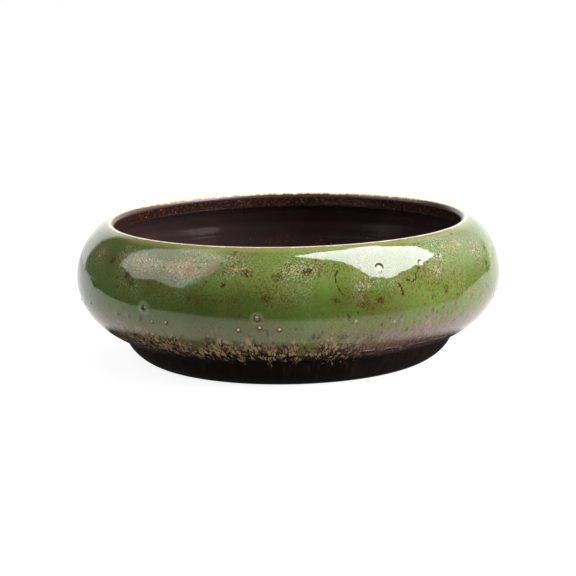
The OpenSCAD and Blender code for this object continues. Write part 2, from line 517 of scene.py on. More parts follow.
lip_centre = Vector((MOUTH_R + LIP_R, HEIGHT - LIP_R))
lip_end = lip_centre + LIP_R * way(90 - LIP_SLOPE)
shoulder_in = BELLY_R - lip_end.x
shoulder_up = lip_end.y - BELLY_Z
shoulder_t = oval_end(shoulder_in, shoulder_up, LIP_SLOPE)
shoulder_a = shoulder_in / (1 - math.cos(math.radians(shoulder_t)))
shoulder_b = shoulder_up / math.sin(math.radians(shoulder_t))
lower_a = BELLY_R - BASE_R
lower_b = BELLY_Z - BASE_Z + COAT


def outside(t):
    """Point, way out and coat thickness of the outside: t is 0 at the belly, above it on the shoulder."""
    if t >= 0:
        point, out = on_oval((BELLY_R - shoulder_a, BELLY_Z), shoulder_a, shoulder_b, t)
        return point, out, FEATHER + (COAT - FEATHER) * ease((shoulder_t - t) / THIN_SPAN)
    point, out = on_oval((BASE_R, BELLY_Z), lower_a, lower_b, t)
    return point, out, COAT


crease_t = -math.degrees(math.acos((FOOT_TOP_R - BASE_R) / lower_a))
crease = outside(crease_t)[0]
chord = crease - Vector((FOOT_R, 0))
foot_arc_r = (chord.length ** 2 / 4 + FOOT_BOW ** 2) / (2 * FOOT_BOW)
foot_out = Vector((chord.y, -chord.x)).normalized()
foot_centre = Vector((FOOT_R, 0)) + chord / 2 - (foot_arc_r - FOOT_BOW) * foot_out


def foot_face(z):
    """Point, way out and coat thickness of the foot ring's outer face at a height."""
    t = math.asin((z - foot_centre.y) / foot_arc_r)
    out = Vector((math.cos(t), math.sin(t)))
    return foot_centre + foot_arc_r * out, out, FEATHER + (COAT - FEATHER) * ease((z - DRY_Z) / DRY_SPAN)


def under(point, out, coat):
    """The point of the clay that lies under a point of a coat."""
    return point - coat * out


print("crease", [round(c, 2) for c in crease], "lip ends", [round(c, 2) for c in lip_end])

# %% [markdown]
# The hollow follows the outside at the wall's thickness. Under the lip it steps in to a straight band,
# and the potter's fingers left shallow rings all the way up.

# %% Curves of the hollow
inner_r = BELLY_R - WALL
band_centre = Vector((MOUTH_R + BAND_EDGE_R, BAND_Z))
band_slope = math.degrees(math.atan(BAND_SHARE * (BAND_Z - BELLY_Z) / (inner_r - band_centre.x)))
band_end = band_centre - BAND_EDGE_R * way(90 - band_slope)
hollow_t = oval_end(inner_r - band_end.x, band_end.y - BELLY_Z, band_slope)
hollow_a = (inner_r - band_end.x) / (1 - math.cos(math.radians(hollow_t)))
hollow_b = (band_end.y - BELLY_Z) / math.sin(math.radians(hollow_t))


def inside(t):
    """Point and way out (into the wall) of the hollow: t is 0 at the belly, above it under the shoulder."""
    if t >= 0:
        point, out = on_oval((inner_r - hollow_a, BELLY_Z), hollow_a, hollow_b, t)
    else:
        point, out = on_oval((BASE_R, BELLY_Z), inner_r - BASE_R, BELLY_Z - FLOOR_Z, t)
    up = point.y - FLOOR_Z
    ring = RING_DEPTH / 2 * (1 - math.cos(math.tau * up / RING_PITCH))
    ring *= ease(up / RING_PITCH) * ease((band_end.y - point.y) / RING_PITCH)
    return point + ring * out, out


hollow_face = [inside(t) for t in spread(-90, 0, 44) + spread(0, hollow_t, 22)[1:]]
hollow_face += [(band_centre + BAND_EDGE_R * way(t), -way(t)) for t in spread(270 - band_slope, 180, 8)[1:]]
lip_roll = [lip_centre + LIP_R * way(t) for t in spread(90 - LIP_SLOPE, 180, 20)]
print(len(hollow_face), "points up the hollow and", len(lip_roll), "over the lip")

# %% [markdown]
# A thrown form is a section turned round the wheel's axis. The section could be a curve with a Screw
# modifier. Here it is drawn as a mesh instead: a plane is merged to one point, that point is extruded along
# the section, the end is joined to the start, and Spin turns it. Each point keeps its row number, so that
# later steps can tell the outer face of a coat from the hidden one.

# %% Draw a section and spin it
SMOOTH_TURN = math.radians(40)
DOUBLES = 0.000004


def spun(name, section, steps):
    """A closed ring or bowl from a closed half section in millimetres."""
    bpy.ops.object.select_all(action="DESELECT")
    bpy.ops.mesh.primitive_plane_add(size=0.001, location=(0, 0, 0))
    piece = bpy.context.object
    piece.name = name
    piece.data.name = name
    edit("SELECT")
    bpy.ops.mesh.merge(type="CENTER")
    points = [Vector((0, -r * MM, z * MM)) for r, z in section]
    bpy.ops.transform.translate(value=points[0])
    for here, there in zip(points, points[1:]):
        bpy.ops.mesh.extrude_vertices_move(TRANSFORM_OT_translate={"value": there - here})
    leave_edit()
    paint(piece, "row", range(len(points)))
    edit("DESELECT")
    leave_edit()
    for end in (0, len(points) - 1):
        piece.data.vertices[end].select = True
    bpy.ops.object.mode_set(mode="EDIT")
    bpy.ops.mesh.edge_face_add()
    bpy.ops.mesh.select_all(action="SELECT")
    bpy.ops.mesh.spin(steps=steps, angle=math.tau, center=(0, 0, 0), axis=(0, 0, 1))
    bpy.ops.mesh.select_all(action="SELECT")
    bpy.ops.mesh.remove_doubles(threshold=DOUBLES)
    bpy.ops.mesh.normals_make_consistent(inside=False)
    bpy.ops.mesh.select_all(action="DESELECT")
    leave_edit()
    bpy.ops.object.shade_smooth_by_angle(angle=SMOOTH_TURN)
    print(piece.name, len(piece.data.polygons), "faces", [round(d / MM, 1) for d in piece.dimensions])
    return piece


def rows_of(piece):
    """Row number of each point."""
    values = np.zeros(len(piece.data.vertices), np.float32)
    piece.data.attributes["row"].data.foreach_get("value", values)
    return values


def by_row(piece, values):
    """A value for each point of a piece, from one for each row of its section."""
    return np.interp(rows_of(piece), range(len(values)), values)


def points_of(piece):
    """Places of a piece's points, in millimetres."""
    values = np.zeros(len(piece.data.vertices) * 3, np.float32)
    piece.data.vertices.foreach_get("co", values)
    return values.reshape(-1, 3).astype(float) / MM


def move_points(piece, places):
    piece.data.vertices.foreach_set("co", (places * MM).astype(np.float32).ravel())
    piece.data.update()


print("faces that turn less than", round(math.degrees(SMOOTH_TURN)), "degrees are shaded smooth")


# %% [markdown]
# The bowl itself is stoneware. Only its rolled lip shows in front, as a cream line where the glaze has run
# off, and its base shows from below. The hole in its floor lets water out, so its section starts at the
# hole's edge.

# %% Throw the bowl
CLAY_STEPS = 288
bowl_section = [(DRAIN_R, BASE_Z), ((DRAIN_R + BASE_R) / 2, BASE_Z)]
bowl_section += [under(*outside(t)) for t in spread(-90, 0, 30) + spread(0, shoulder_t, 24)[1:]]
bowl_section += lip_roll
bowl_section += [point + LINER * out for point, out in reversed(hollow_face)]
bowl_section += [(DRAIN_R, FLOOR_Z - LINER)]
clay_bowl = spun("thrown_bowl", bowl_section, CLAY_STEPS)
print("bowl section:", len(bowl_section), "points")

# %% [markdown]
# The foot ring lifts the bowl off the table. A potter turns it separately and joins it on with slip.
# Its top follows the underside of the bowl from the flat base out to the crease, so the two fit with no gap.

# %% Turn the foot ring
SEAT_GAP = 0.2
seat = [under(*outside(t)) for t in spread(-90, crease_t + 12, 300)]
seat_r = [p.x for p in seat]
seat_z = [p.y for p in seat]
foot_rise = []
for z in spread(DRY_Z, crease.y, 200):
    clay_point = under(*foot_face(z))
    if clay_point.y < np.interp(clay_point.x, seat_r, seat_z):
        foot_rise.append(z)
clay_face = [under(*foot_face(z)) for z in foot_rise[::10] + [foot_rise[-1]]]
meet = clay_face[-1]
foot_section = [(FOOT_R - FOOT_W, BASE_Z)]
edge_centre = Vector((FOOT_R - FOOT_W + FOOT_EDGE_R, FOOT_EDGE_R))
foot_section += [edge_centre + FOOT_EDGE_R * way(t) for t in spread(180, 270, 8)]
foot_section += [foot_face(z)[0] for z in spread(0, DRY_Z, 4)]
foot_section += clay_face
foot_section += [p for p in reversed(seat[::12]) if p.x < meet.x - SEAT_GAP]
foot_ring = spun("foot_ring_turned", foot_section, CLAY_STEPS)
print("it meets the bowl at", [round(c, 2) for c in meet])

# %% [markdown]
# The green coat lies on the outside, from the lip down to where it ran out into tongues.
# It gets far more points than the clay does, because its waves and blisters show in every reflection.
# An extra row stands close above the run line, so that the shading doesn't change there.

# %% Pour the green coat
COAT_STEPS = 640
SEAM = 0.25
run_t = math.degrees(math.asin((RUN_Z - BELLY_Z) / lower_b))
face_turns = spread(shoulder_t, 0, 40) + spread(0, run_t, 34)[1:-1] + [run_t + SEAM, run_t]
hidden_turns = spread(run_t, 0, 10) + spread(0, shoulder_t, 14)[1:]
green_rows = [(t, 0.0) for t in face_turns] + [(t, 1.0) for t in hidden_turns]
green_section = [outside(t)[0] for t in face_turns] + [under(*outside(t)) for t in hidden_turns]
green_coat = spun("green_coat", green_section, COAT_STEPS)
print("green coat:", len(face_turns), "rows on its face and", len(hidden_turns), "hidden ones")

# %% [markdown]
# The tongues along its lower edge come from the same rule as those of the frame: each has its own width
# and drop.
# The rows near the run line slide along the bowl, so the edge follows the tongues and the face stays smooth.

# %% Let it run into tongues
def tongue_edge(turn):
    """Height of the green coat's lower edge at an angle round the bowl, in radians."""
    edge = np.full_like(turn, RUN_Z)
    run_r = outside(run_t)[0].x
    for i in range(RUN_COUNT):
        width = RUN_W * (0.55 + 0.45 * abs(math.cos(math.radians(137.5 * i))))
        drop = width * (0.3 + 0.45 * abs(math.sin(math.radians(222.5 * i + 20))))
        along = np.angle(np.exp(1j * (turn - math.tau * i / RUN_COUNT))) * run_r
        within = np.clip((width / 2) ** 2 - along ** 2, 0, None)
        tip = RUN_Z + width / 2 - drop - np.sqrt(within)
        edge = np.where(within > 0, np.minimum(edge, tip), edge)
    return edge


def run_down(piece, rows, span):
    """Moves the rows near the run line along the bowl, so that the edge follows the tongues."""
    places = points_of(piece)
    turn = np.arctan2(places[:, 1], places[:, 0])
    rise = by_row(piece, [t for t, _ in rows])
    depth = by_row(piece, [d for _, d in rows])
    near = 1 - np.clip(np.abs(rise - run_t) / span, 0, 1)
    edge_t = np.degrees(np.arcsin((tongue_edge(turn) - BELLY_Z) / lower_b))
    moved = np.radians(rise + (edge_t - run_t) * near)
    out = np.stack([np.cos(moved) / lower_a, np.sin(moved) / lower_b])
    out /= np.linalg.norm(out, axis=0)
    radius = BASE_R + lower_a * np.cos(moved) - depth * COAT * out[0]
    height = BELLY_Z + lower_b * np.sin(moved) - depth * COAT * out[1]
    new_places = np.column_stack([radius * np.cos(turn), radius * np.sin(turn), height])
    swap = (near > 0) & (rise < 0)
    places[swap] = new_places[swap]
    move_points(piece, places)
    print("points of", piece.name, "moved for the tongues:", int(swap.sum()))


RUN_SPAN = 16.0
run_down(green_coat, green_rows, RUN_SPAN)

# %% [markdown]
# Poured glaze is never quite even: it lies in soft swells that bend every reflection.
# A Displace modifier with soft clouds gives them. A vertex group keeps them shallower than the coat itself,
# off the run line, where the next coat meets this one, and off the hidden face.

# %% Give the coat its swells
WEIGHT_STEPS = 50
SWELLS = (("long_swell", 0.024, 0.75), ("short_swell", 0.008, 0.13))
rise = by_row(green_coat, [t for t, _ in green_rows])
depth = by_row(green_coat, [d for _, d in green_rows])
coat_share = by_row(green_coat, [outside(t)[2] / COAT for t, _ in green_rows])
weight = np.minimum(np.clip((shoulder_t - rise) / 26, 0, 1), coat_share) * np.clip((rise + 32) / 40, 0, 1)
weight = np.where(depth > 0, 0, weight * (0.35 + 0.65 * np.clip(rise / 30, 0, 1)))
swell_group = green_coat.vertex_groups.new(name="swell")
levels = np.round(weight * WEIGHT_STEPS).astype(int)
for level in np.unique(levels):
    swell_group.add(np.flatnonzero(levels == level).tolist(), float(level) / WEIGHT_STEPS, "REPLACE")
for name, size, strength in SWELLS:
    clouds = bpy.data.textures.new(name, "CLOUDS")
    clouds.noise_scale = size
    clouds.noise_depth = 0
    swell = green_coat.modifiers.new(name, "DISPLACE")
    swell.texture = clouds
    swell.texture_coords = "LOCAL"
    swell.mid_level = 0.85
    swell.strength = strength * MM
    swell.vertex_group = "swell"
    bpy.context.view_layer.objects.active = green_coat
    bpy.ops.object.modifier_apply(modifier=name)
print("swells:", [round(c / MM, 2) for c in green_coat.dimensions])

# %% [markdown]
# Gas that leaves the clay in the kiln bursts through the glaze. Some bubbles leave craters with a pale core,
# some a black pinhole in a pale ring, one a half open burst, and the smallest stay as a string of pimples
# and faint blots under the belly. Each is a real dent or bump in the mesh, and hairline veins run down
# beside some of them. Part of their light and shade is painted: a raised blister's pale top is partly a
# painted highlight and its dark lower side painted shade, a crater's dark crescent on top is partly painted
# shadow, a pit's pale ring is partly a painted reflection, and two small beads carry a painted glint.
# The clear ones have their own places, and the back of the bowl gets others of the same kind.

# %% Find the places of the blisters
# kind, degrees round the bowl from the front, height, radius
blisters = [("crater", 24.6, 52.8, 1.9), ("tilted", 37.6, 52.6, 1.2), ("pit", -40.0, 35.9, 1.3),
            ("glint_bead", 16.8, 32.1, 0.6), ("glint_bead", 27.7, 30.3, 0.5), ("burst", -8.1, 34.5, 1.7),
            ("pimple", -37.8, 30.3, 1.0), ("pimple", -33.2, 30.7, 1.1), ("pimple", -13.0, 29.5, 1.2),
            ("pimple", -7.5, 30.6, 1.2), ("pimple", -2.6, 29.7, 1.2), ("blot", -65.8, 31.9, 1.2),
            ("blot", -51.1, 31.1, 1.5), ("blot", -46.4, 31.3, 1.4), ("blot", -42.6, 30.3, 1.3),
            ("blot", -21.6, 25.8, 1.5), ("speck", 1.6, 29.8, 0.6), ("speck", 3.0, 29.3, 0.4)]
dice = np.random.default_rng(11)
for turn in (96, 131, 168, 205, 240):
    kind = ("crater", "pit")[int(dice.integers(2))]
    blisters.append((kind, turn + dice.uniform(-9, 9), dice.uniform(35, 53), dice.uniform(0.8, 1.6)))
for turn in np.arange(62, 300, 9.5):
    if dice.random() < 0.62:
        turn += dice.uniform(-3.5, 3.5)
        blisters.append(("blot", turn, dice.uniform(28, 32.5), dice.uniform(0.8, 1.3)))
# degrees round the bowl from the front, height
veins = [[(12.9, 52.9), (12.1, 50.6), (12.1, 47.5), (13.1, 44.3), (15.0, 41.4)],
         [(36.4, 50.4), (34.9, 48.3), (34.6, 46.4), (33.1, 45.7), (31.8, 46.9)],
         [(29.1, 45.8), (29.9, 43.6), (30.0, 41.3)]]
for turn in (112, 152, 190, 222, 250):
    walk = [(turn, dice.uniform(46, 53))]
    for _ in range(4):
        walk.append((walk[-1][0] + dice.uniform(-1.6, 1.6), walk[-1][1] - dice.uniform(1.2, 3.2)))
    veins.append(walk)


def on_coat(turn, z):
    """A place on the green coat and the ways out of and down it: degrees from the front, and a height."""
    t = math.degrees(math.asin((z - BELLY_Z) / (shoulder_b if z > BELLY_Z else lower_b)))
    point, out, _ = outside(t)
    side = Vector((math.sin(math.radians(turn)), -math.cos(math.radians(turn)), 0))
    up = Vector((0, 0, 1))
    ways = (side * point.x + up * point.y, side * out.x + up * out.y, side * out.y - up * out.x)
    return [np.array(v) for v in ways]


print(len(blisters), "blisters and", len(veins), "veins")

# %% [markdown]
# A blister is only a few faces wide, too few for its shape, so the faces round it are cut first,
# in two rings.

# %% Subdivide round them
SPOT_MARGIN = 0.35
vein_lines = [np.array([on_coat(turn, z)[0] for turn, z in vein]) for vein in veins]


def from_line(places, line):
    """Distance of each place from a line of points."""
    best = np.full(len(places), 1e9)
    for start, end in zip(line[:-1], line[1:]):
        run = end - start
        share = np.clip((places - start) @ run / (run @ run), 0, 1)
        best = np.minimum(best, np.linalg.norm(places - start - share[:, None] * run, axis=1))
    return best


def subdivide_near(piece, spot_reach, line_reach):
    """Cuts each face near a blister or a vein into four."""
    centres = np.zeros(len(piece.data.polygons) * 3, np.float32)
    piece.data.polygons.foreach_get("center", centres)
    centres = centres.reshape(-1, 3).astype(float) / MM
    near = np.zeros(len(centres), bool)
    for _, turn, z, size in blisters:
        near |= np.linalg.norm(centres - on_coat(turn, z)[0], axis=1) < size * spot_reach + SPOT_MARGIN
    for line in vein_lines:
        near |= from_line(centres, line) < line_reach
    bpy.context.view_layer.objects.active = piece
    edit("DESELECT", "FACE")
    leave_edit()
    piece.data.polygons.foreach_set("select", near)
    bpy.ops.object.mode_set(mode="EDIT")
    bpy.ops.mesh.subdivide(number_cuts=1, smoothness=0, ngon=False)
    bpy.ops.mesh.select_all(action="DESELECT")
    leave_edit()
    print("faces cut:", int(near.sum()))


subdivide_near(green_coat, 2.6, 1.2)
subdivide_near(green_coat, 1.9, 0.7)

# %% [markdown]
# Every kind of blister has its own shape, a sum of soft bells round its middle, in parts of its radius.
# A blister also says how much of a pale core, a dark hole and a pale ring it shows, for the finish to read.
# The core also holds painted highlights and glints, the hole painted shade, and a pit's ring a painted
# reflection.

# %% Shapes of the blisters
TILT = 0.7


def bell(x, power):
    """1 in the middle and 0 far from it. A high power makes the sides steep."""
    return np.exp(-np.abs(x) ** power)


def blister(kind, along, across):
    """Lift of the glaze and the levels of its pale middle with painted highlight, its dark part with painted
    shade, and its ring with painted reflection, at places down and across from a blister's middle.
    """
    far = np.hypot(along, across)
    # The crown lies above the middle, so a pale core there is partly a painted highlight.
    crown = np.hypot(along + (0.3 if kind == "blot" else 0.25), across)
    # A glint bead is a small bump whose pale core is a painted glint.
    if kind == "glint_bead":
        return 0.5 * bell(far, 4), 0.6 * bell(far, 4), 0, 0
    if kind == "speck":
        return -0.2 * bell(far, 2), 0, 0.8 * bell(far, 4), 0
    # A pimple's dark part is heavier on its lower side: painted shade.
    if kind == "pimple":
        hole = np.clip(0.65 + along, 0.4, 1) * bell(far / 1.1, 8)
        return 0.42 * bell(far / 0.72, 4), bell(crown / 0.42, 4), hole, 0
    if kind == "blot":
        return 0.2 * bell(far / 0.7, 2), 0.4 * bell(crown / 0.36, 4), 0.7 * bell(far / 0.8, 3), 0
    if kind == "burst":
        well = np.hypot((along - 0.3) / 0.6, across / 0.95)
        lift = 0.3 * bell(crown / 0.45, 4) - 0.5 * bell(well, 4)
        return lift, bell(crown / 0.36, 4), bell(well, 8), 0.5 * bell((far - 1.3) / 0.3, 2)
    # A pit's pale ring round its raised rim is partly a painted reflection.
    if kind == "pit":
        lift = 0.16 * bell((far - 1.3) / 0.55, 2) - 0.75 * bell(far / 0.7, 4)
        return lift, 0, bell(far / 0.92, 6), 0.7 * bell((far - 1.7) / 0.7, 2)
    lean = TILT if kind == "tilted" else 0.0
    along, across = (along * math.cos(lean) + across * math.sin(lean),
                     across * math.cos(lean) - along * math.sin(lean))
    plug = np.hypot((along - 0.45) / 0.85, across / 0.68)
    inner = bell(plug, 8)
    stain = bell(np.hypot((along - 0.9) / 0.42, (across - 0.3) / 0.28), 4)
    # The dark rim on a crater's upper side is partly painted shadow.
    rim_and_shadow = bell(far / 0.98, 10) * np.clip(0.7 - along, 0, 1)
    lift = 0.16 * bell(plug / 0.8, 4) - 0.2 * bell(far / 0.85, 6)
    return lift, inner * (1 - stain), rim_and_shadow * (1 - inner) + 0.75 * stain, 0.8 * bell((far - 1.15) / 0.16, 2)


print("a bead rises by", round(float(blister("glint_bead", 0, 0)[0]), 2), "of its radius")

# %% [markdown]
# Now each point of the outer face is moved along its blister's own direction out of the bowl.
# The distances are taken on a smooth copy of the face, so the swells don't bend the round shapes.

# %% Raise and sink the blisters
VEIN_W = 0.5
VEIN_DEPTH = 0.03
places = points_of(green_coat)
face_points = rows_of(green_coat) <= len(face_turns) - 1
even_r = by_row(green_coat, [outside(t)[0].x for t, _ in green_rows])
even_z = by_row(green_coat, [outside(t)[0].y for t, _ in green_rows])
turn_out = places[:, :2] / np.linalg.norm(places[:, :2], axis=1)[:, None]
smooth_places = np.column_stack([turn_out * even_r[:, None], even_z])
# The core and hole layers also hold painted highlight and shade, and the ring a painted reflection.
layers = {name: np.zeros(len(places)) for name in ("core", "hole", "ring", "crack")}
move = np.zeros_like(places)
for kind, turn, z, size in blisters:
    spot, out, down = on_coat(turn, z)
    away = smooth_places - spot
    near = (np.linalg.norm(away, axis=1) < 4 * size) & face_points
    lift, *shown = blister(kind, away[near] @ down / size, away[near] @ np.cross(out, down) / size)
    move[near] += size * lift[:, None] * out
    for name, level in zip(("core", "hole", "ring"), shown):
        layers[name][near] = np.maximum(layers[name][near], level)
for line in vein_lines:
    near_line = bell(from_line(smooth_places, line) / VEIN_W, 2)
    layers["crack"] = np.maximum(layers["crack"], near_line * face_points)
outward = np.column_stack([turn_out, np.zeros(len(places))])
move_points(green_coat, places + move - VEIN_DEPTH * layers["crack"][:, None] * outward)
for name, values in layers.items():
    paint(green_coat, name, values)
print(len(green_coat.data.polygons), "faces", [round(d / MM, 2) for d in green_coat.dimensions])

# %% [markdown]
# Iron in the clay bleeds up through the glaze in rusty knots, and on the shoulder the glaze is hazy with
# crystals. The hazy and pale areas lie where the dim panel and the lit walls are mirrored, so they are
# partly painted reflection. The clear ones have their own places, and the back of the bowl gets others of
# the same kind.
# They are only painted: each point keeps a number that says how rusty or hazy it is.

# %% Stain the green coat and paint reflection into its haze
PALE_SHARE = 0.55
# degrees round the bowl from the front, height, half width, half height
rust_knots = [(-47.4, 48.0, 1.7, 1.5), (-45.4, 45.2, 1.7, 1.8), (-55.8, 52.3, 1.8, 1.6),
              (-11.0, 52.3, 2.2, 1.6), (-3.0, 50.9, 2.0, 1.6), (-18.8, 40.9, 1.1, 0.9),
              (-16.9, 47.7, 1.2, 1.0), (-5.8, 42.5, 2.0, 1.2), (4.9, 52.9, 1.8, 1.6),
              (11.8, 40.6, 1.4, 1.2), (15.0, 34.1, 0.6, 2.0), (19.0, 38.9, 1.6, 1.4),
              (23.6, 39.4, 1.6, 1.4), (30.0, 41.7, 0.7, 1.6), (29.4, 45.0, 0.9, 0.8),
              (39.8, 38.1, 1.1, 1.1), (44.6, 40.2, 1.3, 1.8), (66.0, 44.4, 0.9, 3.2),
              (35.5, 60.2, 1.0, 0.5), (14.1, 25.4, 2.4, 1.4), (57.2, 59.7, 1.6, 0.6),
              (44.4, 51.7, 0.8, 0.7), (-15.0, 59.5, 0.9, 0.7), (-32.5, 58.4, 1.0, 0.7),
              (-26.2, 41.3, 0.6, 1.4)]
# Painted reflection as well as haze: these areas lie where the dim panel and the lit walls are mirrored.
haze_sheen_areas = [(-42.0, 53.5, 13, 5.0), (-29.0, 53.0, 13, 5.5)]
pale_sheen_areas = [(-63.5, 53.5, 6, 5.0), (-13.0, 53.5, 9, 4.0), (2.0, 53.5, 12, 3.5), (20.0, 46.5, 5, 2.6),
              (54.0, 56.0, 16, 5.4), (61.5, 52.0, 6, 3.0), (42.0, 48.0, 4, 2.0), (-20.0, 57.5, 18, 2.2)]
freckle_areas = [(20.0, 41.0, 10, 5.0), (-6.0, 43.5, 13, 4.0), (-22.0, 41.5, 9, 4.0), (40.0, 46.0, 14, 7.0),
                 (54.0, 44.0, 9, 7.0), (8.0, 54.0, 12, 4.0)]
blush_areas = [(-26.7, 52.9, 2.4, 1.6), (-21.4, 52.8, 1.2, 1.2), (-20.4, 53.8, 1.2, 1.1),
               (-19.5, 54.9, 1.1, 1.0)]
for turn in np.arange(72, 300, 7.5):
    turn += dice.uniform(-3, 3)
    rust_knots.append((turn, dice.uniform(38, 55), dice.uniform(0.7, 2.0), dice.uniform(0.8, 2.6)))
for turn in np.arange(78, 290, 24):
    areas = (haze_sheen_areas, pale_sheen_areas)[int(dice.integers(2))]
    turn += dice.uniform(-8, 8)
    areas.append((turn, dice.uniform(48, 54), dice.uniform(7, 16), dice.uniform(3, 4.5)))


def oval_level(areas):
    """How far each point of the green coat lies inside soft oval areas, from 0 to 1."""
    level = np.zeros(len(smooth_places))
    for turn, z, half_w, half_h in areas:
        spot, out, down = on_coat(turn, z)
        away = smooth_places - spot
        across = away @ np.cross(out, down) / half_w
        along = away @ down / half_h
        level = np.maximum(level, np.exp(-across ** 2 - along ** 2) * face_points)
    return level


stains_and_sheen = {"rust": oval_level(rust_knots),
          "haze": np.maximum(oval_level(haze_sheen_areas), PALE_SHARE * oval_level(pale_sheen_areas)),
          "blush": oval_level(blush_areas),
          "freckle": oval_level(freckle_areas)}
for name, values in stains_and_sheen.items():
    paint(green_coat, name, values)
print(len(rust_knots), "rust knots and", len(haze_sheen_areas) + len(pale_sheen_areas), "hazy areas")

# %% [markdown]
# Below the tongues the dark glaze shows. It fills the crease under the belly and thins out down the foot.
# Its upper edge is the green coat's lower edge, from the same rule, so no clay shows between them.
# Glaze gathers in a corner, so the crease gets a small round instead of a sharp line.

# %% Pour the coat on the foot
CREASE_SOFT = 1.3


def rounded(before, corner, after, reach, count):
    """The corner of two lines as a soft curve, which starts and ends at reach from it."""
    first = corner + (before - corner).normalized() * reach
    last = corner + (after - corner).normalized() * reach
    return [first * (1 - u) ** 2 + corner * 2 * u * (1 - u) + last * u ** 2 for u in spread(0, 1, count)]


upper = [t for t in spread(run_t, crease_t, 14) if (outside(t)[0] - crease).length > CREASE_SOFT]
upper.insert(1, run_t - SEAM)
lower = [z for z in spread(crease.y, DRY_Z, 26) if (foot_face(z)[0] - crease).length > CREASE_SOFT]
fillet = rounded(outside(upper[-1])[0], crease, foot_face(lower[0])[0], CREASE_SOFT, 8)
meet_t = next(t for t in spread(-90, 0, 900) if under(*outside(t)).x > meet.x)
hidden_up = spread(meet_t + 1, run_t, 8)
foot_rows = [(t, 0.0) for t in upper]
foot_rows += [(crease_t, 0.0)] * (len(fillet) + len(lower)) + [(crease_t, 1.0)] * len(clay_face)
foot_rows += [(t, 1.0) for t in hidden_up]
coat_section = [outside(t)[0] for t in upper] + fillet + [foot_face(z)[0] for z in lower]
coat_section += clay_face + [under(*outside(t)) for t in hidden_up]
foot_coat = spun("foot_coat", coat_section, COAT_STEPS)
run_down(foot_coat, foot_rows, run_t - upper[-1] - 0.5)
for name in list(layers) + list(stains_and_sheen):
    paint(foot_coat, name, np.zeros(len(foot_coat.data.vertices)))
print("foot coat section:", len(coat_section), "points")

# %% [markdown]
# Inside, a dark liner coats the floor and the wall up to the lip, but not a ring round the drain hole.
# The rings that the potter's fingers left are in its section already.

# %% Line the inside
LINER_STEPS = 384
liner_r = DRAIN_R + LINER_BACK
liner_section = [(r, FLOOR_Z) for r in spread(liner_r, BASE_R, 12)[:-1]]
liner_section += [point for point, _ in hollow_face]
liner_section += [(MOUTH_R, z) for z in spread(BAND_Z, lip_centre.y, 4)[1:]]
liner_section += [(MOUTH_R + FEATHER, lip_centre.y)]
liner_section += [point + LINER * out for point, out in reversed(hollow_face[::3])]
liner_section += [(liner_r, FLOOR_Z - LINER)]
liner_coat = spun("liner_coat", liner_section, LINER_STEPS)
print("liner section:", len(liner_section), "points")

# %% [markdown]
# A net of moulded plastic lies over the drain hole and keeps the soil in.
# Each bar is a box with its edges bevelled, as long as the rim lets it be. One layer of bars lies across
# the other.

# %% Mould the drain net
NET_R = 22.0
NET_T = 1.8
NET_STEPS = 96
BAR_W = 1.2
BAR_PITCH = 3.6
RIM_W = 2.0
LAYER = 0.6 * NET_T
EDGE = 0.3
rim_middle = Vector((NET_R - RIM_W / 2, FLOOR_Z + NET_T / 2))
rim_section = []
for turn, right, up in ((0, 1, 1), (90, -1, 1), (180, -1, -1), (270, 1, -1)):
    corner = rim_middle + Vector((right * (RIM_W / 2 - EDGE), up * (NET_T / 2 - EDGE)))
    rim_section += [corner + EDGE * way(t) for t in spread(turn, turn + 90, 4)]
net = spun("drain_net_moulded", rim_section, NET_STEPS)
bars = []
reach_r = NET_R - RIM_W / 2
count = int((reach_r - BAR_W) // BAR_PITCH)
for z, crosswise in ((FLOOR_Z + LAYER / 2, False), (FLOOR_Z + NET_T - LAYER / 2, True)):
    for i in range(-count, count + 1):
        aside = i * BAR_PITCH
        length = 2 * math.sqrt(reach_r ** 2 - (abs(aside) + BAR_W / 2) ** 2)
        middle = Vector((aside, 0, z) if crosswise else (0, aside, z))
        bpy.ops.mesh.primitive_cube_add(size=1, location=middle * MM)
        bar = bpy.context.object
        bar.scale = Vector((BAR_W, length, LAYER) if crosswise else (length, BAR_W, LAYER)) * MM
        bpy.ops.object.transform_apply(location=True, rotation=True, scale=True)
        edit("SELECT")
        bpy.ops.mesh.bevel(offset=EDGE * MM, segments=3, affect="EDGES")
        leave_edit()
        bars.append(bar)
bpy.ops.object.select_all(action="DESELECT")
for bar in bars:
    bar.select_set(True)
net.select_set(True)
bpy.context.view_layer.objects.active = net
bpy.ops.object.join()
bpy.ops.object.shade_smooth_by_angle(angle=SMOOTH_TURN)
print(net.name, len(bars), "bars", len(net.data.polygons), "faces")
